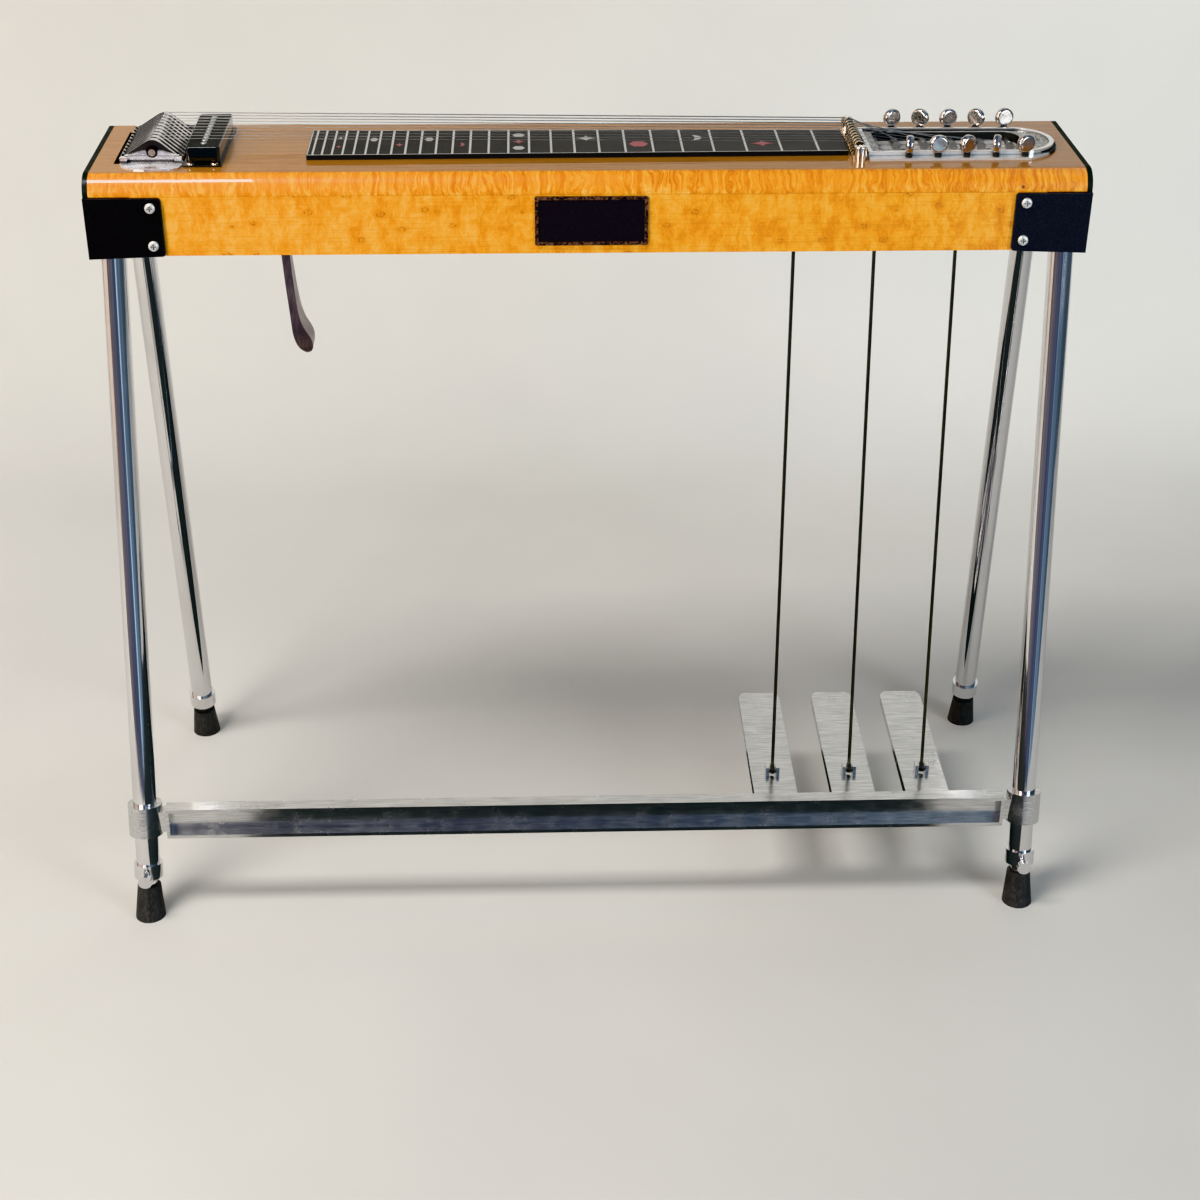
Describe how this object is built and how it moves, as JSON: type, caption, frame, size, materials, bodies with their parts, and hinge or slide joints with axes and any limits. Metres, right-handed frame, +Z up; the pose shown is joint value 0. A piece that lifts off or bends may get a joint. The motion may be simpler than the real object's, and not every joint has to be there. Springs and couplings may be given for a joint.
{
  "type": "pedal steel guitar",
  "caption": "Table-height steel guitar with a maple deck, keyhead, roller nut, pickup and changer, on splayed legs with foot pedals, rods and a knee lever that rock the changer's fingers.",
  "frame": {"origin": "floor level, under the middle of the bounding box", "axes": "+X along the strings towards the keyhead, +Y from the front apron towards the player's side, +Z up"},
  "size_m": [0.8712, 0.3642, 0.7211],
  "materials": {
    "maple": "clear gloss lacquer over orange-tinted maple",
    "maple_apron": "clear gloss lacquer over orange-tinted birdseye maple",
    "black_lacquer": "gloss black",
    "black_crinkle": "crinkle-textured black, rubbed pale on the edges",
    "zinc_screw": "bright zinc",
    "badge_black": "gloss black, bronze showing on the worn rim",
    "fretboard_paint": "satin charcoal",
    "chrome": "polished",
    "leg_chrome": "polished",
    "rod_steel": "dark, oiled",
    "nickel_roller": "nickel worn to brass",
    "cast_aluminium": "hammered casting with a polished rim",
    "tuner_zinc": "satin",
    "button_chrome": "polished",
    "pickup_base": "gloss black",
    "pickup_plastic": "gloss black",
    "pole_steel": "bright",
    "shaft_steel": "bright",
    "finger_steel": "polished",
    "string_steel": "bright",
    "bright_aluminium": "polished",
    "lever_aluminium": "dark bronze tone"
  },
  "bodies": {
    "cabinet": {"deck_board": "maple", "front_apron": "maple_apron", "rear_apron": "maple_apron", "end_plate_left": "black_lacquer", "end_plate_right": "black_lacquer", "corner_brackets": "black_crinkle", "cabinet_screws": "zinc_screw", "badge_plate": "badge_black", "fretboard": "fretboard_paint", "nut_frame": "chrome", "keyhead": "cast_aluminium", "tuner_housings": "tuner_zinc", "tuner_posts": "chrome", "pickup_plate": "pickup_base", "pickup_cover": "pickup_plastic", "pickup_poles": "pole_steel", "changer_frame": "chrome", "changer_axle": "shaft_steel", "fingers_fixed": "finger_steel", "strings": "string_steel", "shaft_brackets": "bright_aluminium", "leg_tubes": "leg_chrome", "leg_collars": "leg_chrome", "pedal_bar": "bright_aluminium", "pedal_bar_clamps": "bright_aluminium", "pedal_shaft": "shaft_steel", "output_jack": "chrome"},
    "nut_rollers": {"nut_rollers": "nickel_roller"},
    "knee_lever": {"knee_lever": "lever_aluminium"},
    "pull_rods_lever": {"pull_rods_lever": "shaft_steel"},
    "fingers_lever": {"fingers_lever": "finger_steel"},
    "pedal_a": {"pedal_a": "bright_aluminium"},
    "pedal_rod_a": {"pedal_rod_a": "rod_steel"},
    "cross_shaft_a": {"cross_shaft_a": "shaft_steel"},
    "pull_rods_a": {"pull_rods_a": "shaft_steel"},
    "fingers_a": {"fingers_a": "finger_steel"},
    "pedal_b": {"pedal_b": "bright_aluminium"},
    "pedal_rod_b": {"pedal_rod_b": "rod_steel"},
    "cross_shaft_b": {"cross_shaft_b": "shaft_steel"},
    "pull_rods_b": {"pull_rods_b": "shaft_steel"},
    "fingers_b": {"fingers_b": "finger_steel"},
    "pedal_c": {"pedal_c": "bright_aluminium"},
    "pedal_rod_c": {"pedal_rod_c": "rod_steel"},
    "cross_shaft_c": {"cross_shaft_c": "shaft_steel"},
    "pull_rods_c": {"pull_rods_c": "shaft_steel"},
    "fingers_c": {"fingers_c": "finger_steel"},
    "tuner_button_1": {"tuner_button_1": "button_chrome"},
    "tuner_button_2": {"tuner_button_2": "button_chrome"},
    "tuner_button_3": {"tuner_button_3": "button_chrome"},
    "tuner_button_4": {"tuner_button_4": "button_chrome"},
    "tuner_button_5": {"tuner_button_5": "button_chrome"},
    "tuner_button_6": {"tuner_button_6": "button_chrome"},
    "tuner_button_7": {"tuner_button_7": "button_chrome"},
    "tuner_button_8": {"tuner_button_8": "button_chrome"},
    "tuner_button_9": {"tuner_button_9": "button_chrome"},
    "tuner_button_10": {"tuner_button_10": "button_chrome"},
    "lower_leg_front_left": {"lower_leg_front_left": "leg_chrome"},
    "lower_leg_front_right": {"lower_leg_front_right": "leg_chrome"},
    "lower_leg_rear_left": {"lower_leg_rear_left": "leg_chrome"},
    "lower_leg_rear_right": {"lower_leg_rear_right": "leg_chrome"}
  },
  "joints": [
    {"name": "pedal_a_press", "type": "hinge", "parent": "cabinet", "child": "pedal_a", "pos_m": [0.18285, -0.13535, 0.088], "axis": [-1, 0, 0], "range_deg": [0, 8], "stiffness_Nm_per_rad": 25, "springref_deg": -2.29},
    {"name": "pedal_rod_a_slide", "type": "slide", "parent": "cabinet", "child": "pedal_rod_a", "axis": [0.0024, -0.0485, -0.9988], "range_m": [0, 0.0088]},
    {"name": "cross_shaft_a_turn", "type": "hinge", "parent": "cabinet", "child": "cross_shaft_a", "pos_m": [0.20611, 0.00265, 0.66885], "axis": [0, -1, 0], "range_deg": [0, 19.6]},
    {"name": "pull_rods_a_slide", "type": "slide", "parent": "cabinet", "child": "pull_rods_a", "axis": [1, 0, 0], "range_m": [0, 0.0039]},
    {"name": "fingers_a_rock", "type": "hinge", "parent": "cabinet", "child": "fingers_a", "pos_m": [-0.37265, 0.00765, 0.7099], "axis": [0, -1, 0], "range_deg": [0, 4.2]},
    {"name": "pedal_b_press", "type": "hinge", "parent": "cabinet", "child": "pedal_b", "pos_m": [0.25855, -0.13535, 0.088], "axis": [-1, 0, 0], "range_deg": [0, 8], "stiffness_Nm_per_rad": 25, "springref_deg": -2.29},
    {"name": "pedal_rod_b_slide", "type": "slide", "parent": "cabinet", "child": "pedal_rod_b", "axis": [0.0107, -0.0485, -0.9988], "range_m": [0, 0.0088]},
    {"name": "cross_shaft_b_turn", "type": "hinge", "parent": "cabinet", "child": "cross_shaft_b", "pos_m": [0.27701, 0.00265, 0.66885], "axis": [0, -1, 0], "range_deg": [0, 19.6]},
    {"name": "pull_rods_b_slide", "type": "slide", "parent": "cabinet", "child": "pull_rods_b", "axis": [1, 0, 0], "range_m": [0, 0.0039]},
    {"name": "fingers_b_rock", "type": "hinge", "parent": "cabinet", "child": "fingers_b", "pos_m": [-0.37265, 0.00765, 0.7099], "axis": [0, -1, 0], "range_deg": [0, 4.2]},
    {"name": "pedal_c_press", "type": "hinge", "parent": "cabinet", "child": "pedal_c", "pos_m": [0.33055, -0.13535, 0.088], "axis": [-1, 0, 0], "range_deg": [0, 8], "stiffness_Nm_per_rad": 25, "springref_deg": -2.29},
    {"name": "pedal_rod_c_slide", "type": "slide", "parent": "cabinet", "child": "pedal_rod_c", "axis": [0.0111, -0.0485, -0.9988], "range_m": [0, 0.0088]},
    {"name": "cross_shaft_c_turn", "type": "hinge", "parent": "cabinet", "child": "cross_shaft_c", "pos_m": [0.34881, 0.00265, 0.66885], "axis": [0, -1, 0], "range_deg": [0, 19.6]},
    {"name": "pull_rods_c_slide", "type": "slide", "parent": "cabinet", "child": "pull_rods_c", "axis": [1, 0, 0], "range_m": [0, 0.0039]},
    {"name": "fingers_c_rock", "type": "hinge", "parent": "cabinet", "child": "fingers_c", "pos_m": [-0.37265, 0.00765, 0.7099], "axis": [0, -1, 0], "range_deg": [0, 4.2]},
    {"name": "knee_lever_swing", "type": "hinge", "parent": "cabinet", "child": "knee_lever", "pos_m": [-0.27065, 0.00265, 0.66885], "axis": [0, -1, 0], "range_deg": [0, 12], "stiffness_Nm_per_rad": 8, "springref_deg": -1.72},
    {"name": "pull_rods_lever_slide", "type": "slide", "parent": "cabinet", "child": "pull_rods_lever", "axis": [1, 0, 0], "range_m": [0, 0.0025]},
    {"name": "fingers_lever_rock", "type": "hinge", "parent": "cabinet", "child": "fingers_lever", "pos_m": [-0.37265, 0.00765, 0.7099], "axis": [0, -1, 0], "range_deg": [0, 2.7]},
    {"name": "nut_rollers_spin", "type": "hinge", "parent": "cabinet", "child": "nut_rollers", "pos_m": [0.23695, 0.00565, 0.7099], "axis": [0, 1, 0], "continuous": true},
    {"name": "tuner_button_1_turn", "type": "hinge", "parent": "cabinet", "child": "tuner_button_1", "pos_m": [0.27955, -0.03855, 0.7], "axis": [0, 0, 1], "continuous": true},
    {"name": "tuner_button_2_turn", "type": "hinge", "parent": "cabinet", "child": "tuner_button_2", "pos_m": [0.30495, -0.03825, 0.7], "axis": [0, 0, 1], "continuous": true},
    {"name": "tuner_button_3_turn", "type": "hinge", "parent": "cabinet", "child": "tuner_button_3", "pos_m": [0.33035, -0.03795, 0.7], "axis": [0, 0, 1], "continuous": true},
    {"name": "tuner_button_4_turn", "type": "hinge", "parent": "cabinet", "child": "tuner_button_4", "pos_m": [0.35575, -0.03765, 0.7], "axis": [0, 0, 1], "continuous": true},
    {"name": "tuner_button_5_turn", "type": "hinge", "parent": "cabinet", "child": "tuner_button_5", "pos_m": [0.38115, -0.03735, 0.7], "axis": [0, 0, 1], "continuous": true},
    {"name": "tuner_button_6_turn", "type": "hinge", "parent": "cabinet", "child": "tuner_button_6", "pos_m": [0.37815, 0.04365, 0.7], "axis": [0, 0, 1], "continuous": true},
    {"name": "tuner_button_7_turn", "type": "hinge", "parent": "cabinet", "child": "tuner_button_7", "pos_m": [0.35275, 0.04365, 0.7], "axis": [0, 0, 1], "continuous": true},
    {"name": "tuner_button_8_turn", "type": "hinge", "parent": "cabinet", "child": "tuner_button_8", "pos_m": [0.32735, 0.04365, 0.7], "axis": [0, 0, 1], "continuous": true},
    {"name": "tuner_button_9_turn", "type": "hinge", "parent": "cabinet", "child": "tuner_button_9", "pos_m": [0.30195, 0.04365, 0.7], "axis": [0, 0, 1], "continuous": true},
    {"name": "tuner_button_10_turn", "type": "hinge", "parent": "cabinet", "child": "tuner_button_10", "pos_m": [0.27655, 0.04365, 0.7], "axis": [0, 0, 1], "continuous": true},
    {"name": "lower_leg_front_left_extend", "type": "slide", "parent": "cabinet", "child": "lower_leg_front_left", "axis": [-0.0162, -0.1736, -0.9847], "range_m": [0, 0.06]},
    {"name": "lower_leg_front_right_extend", "type": "slide", "parent": "cabinet", "child": "lower_leg_front_right", "axis": [-0.0017, -0.1736, -0.9848], "range_m": [0, 0.06]},
    {"name": "lower_leg_rear_left_extend", "type": "slide", "parent": "cabinet", "child": "lower_leg_rear_left", "axis": [-0.0031, 0.1736, -0.9848], "range_m": [0, 0.06]},
    {"name": "lower_leg_rear_right_extend", "type": "slide", "parent": "cabinet", "child": "lower_leg_rear_right", "axis": [0.0175, 0.1736, -0.9847], "range_m": [0, 0.06]}
  ],
  "couplings": [
    {"joint": "pedal_rod_a_slide", "follows": "pedal_a_press", "m_per_rad": 0.06},
    {"joint": "cross_shaft_a_turn", "follows": "pedal_a_press", "ratio": 2.375},
    {"joint": "pull_rods_a_slide", "follows": "pedal_a_press", "m_per_rad": 0.026},
    {"joint": "fingers_a_rock", "follows": "pedal_a_press", "ratio": 0.501},
    {"joint": "pedal_rod_b_slide", "follows": "pedal_b_press", "m_per_rad": 0.06},
    {"joint": "cross_shaft_b_turn", "follows": "pedal_b_press", "ratio": 2.375},
    {"joint": "pull_rods_b_slide", "follows": "pedal_b_press", "m_per_rad": 0.026},
    {"joint": "fingers_b_rock", "follows": "pedal_b_press", "ratio": 0.501},
    {"joint": "pedal_rod_c_slide", "follows": "pedal_c_press", "m_per_rad": 0.06},
    {"joint": "cross_shaft_c_turn", "follows": "pedal_c_press", "ratio": 2.375},
    {"joint": "pull_rods_c_slide", "follows": "pedal_c_press", "m_per_rad": 0.026},
    {"joint": "fingers_c_rock", "follows": "pedal_c_press", "ratio": 0.501},
    {"joint": "pull_rods_lever_slide", "follows": "knee_lever_swing", "m_per_rad": 0.01096},
    {"joint": "fingers_lever_rock", "follows": "knee_lever_swing", "ratio": 0.2112}
  ]
}
